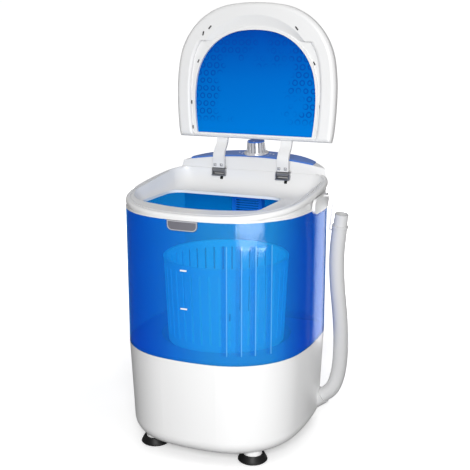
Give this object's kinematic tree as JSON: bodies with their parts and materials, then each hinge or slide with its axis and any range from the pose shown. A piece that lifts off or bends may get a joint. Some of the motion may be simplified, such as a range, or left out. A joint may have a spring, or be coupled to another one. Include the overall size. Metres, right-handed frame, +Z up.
{
  "type": "mini washing machine",
  "caption": "Top-loading mini washing machine: clear blue tub on a white base, hinged window lid, spin basket, timer knob, belt drive and drain hose.",
  "frame": {"origin": "on the floor under the axis of the spin basket, in the plane of the feet", "axes": "+Z up along the basket's axis, -Y to the front, +X to the machine's left as it faces out, where the drain hose hangs"},
  "size_m": [0.395, 0.3525, 0.8076],
  "materials": {
    "white_shell": "smooth",
    "blue_clear": "clear gloss",
    "blue_window": "clear gloss",
    "blue_solid": "smooth",
    "basket_clear": "smooth",
    "pearl_knob": "pearl",
    "grey_plate": "satin",
    "rubber_black": "matte",
    "hinge_steel": "satin",
    "steel": "satin",
    "bronze": "sintered",
    "grey_nylon": "moulded",
    "motor_paint": "satin",
    "dark_plastic": "moulded",
    "hose_grey": "smooth"
  },
  "bodies": {
    "cabinet": {"base_housing": "white_shell", "bottom_cover": "white_shell", "cover_screws": "steel", "foot_front_left": "rubber_black", "foot_rear_left": "rubber_black", "foot_front_right": "rubber_black", "foot_rear_right": "rubber_black", "cord_gland": "rubber_black", "tub_shell": "blue_clear", "duct_wall": "blue_clear", "overflow_filter": "blue_solid", "lower_bearing": "bronze", "upper_bearing": "bronze", "shaft_seal": "rubber_black", "drive_belt": "rubber_black", "motor_body": "motor_paint", "motor_bracket": "steel", "bracket_screws": "steel", "run_capacitor": "grey_nylon", "top_frame": "white_shell", "control_panel": "blue_solid", "timer_unit": "dark_plastic", "hinge_clip_left": "hinge_steel", "hinge_pin_left": "hinge_steel", "hinge_clip_right": "hinge_steel", "hinge_pin_right": "hinge_steel", "badge_plate": "grey_plate", "hose_hook": "white_shell", "drain_outlet": "hose_grey", "drain_pipe": "hose_grey", "drain_hose": "hose_grey", "hose_spout": "hose_grey", "wire_harness": "dark_plastic"},
    "lid": {"lid_frame": "white_shell", "lid_cover": "white_shell", "lid_window": "blue_window", "lid_arm_left": "white_shell", "lid_arm_right": "white_shell", "hinge_leaf_left": "hinge_steel", "hinge_leaf_right": "hinge_steel"},
    "spinner": {"drive_shaft": "steel", "pulsator": "basket_clear", "spin_basket": "basket_clear", "basket_nut": "basket_clear", "drum_pulley": "grey_nylon"},
    "rotor": {"motor_shaft": "steel", "motor_pulley": "grey_nylon"},
    "knob": {"timer_knob": "pearl_knob", "knob_cap": "blue_solid", "timer_shaft": "steel"}
  },
  "joints": [
    {"name": "lid_hinge", "type": "hinge", "parent": "cabinet", "child": "lid", "pos_m": [0, 0.119, 0.486], "axis": [1, 0, 0], "range_deg": [0, 98.2]},
    {"name": "basket_spin", "type": "hinge", "parent": "cabinet", "child": "spinner", "pos_m": [0, 0, 0.2], "axis": [0, 0, 1], "continuous": true},
    {"name": "motor_spin", "type": "hinge", "parent": "cabinet", "child": "rotor", "pos_m": [-0.088, 0, 0.1], "axis": [0, 0, 1], "continuous": true},
    {"name": "timer_turn", "type": "hinge", "parent": "cabinet", "child": "knob", "pos_m": [0, 0.147, 0.51902], "axis": [0, -0.108, 0.9942], "range_deg": [-300, 0]}
  ],
  "couplings": [
    {"joint": "motor_spin", "follows": "basket_spin", "ratio": 4.1858}
  ]
}
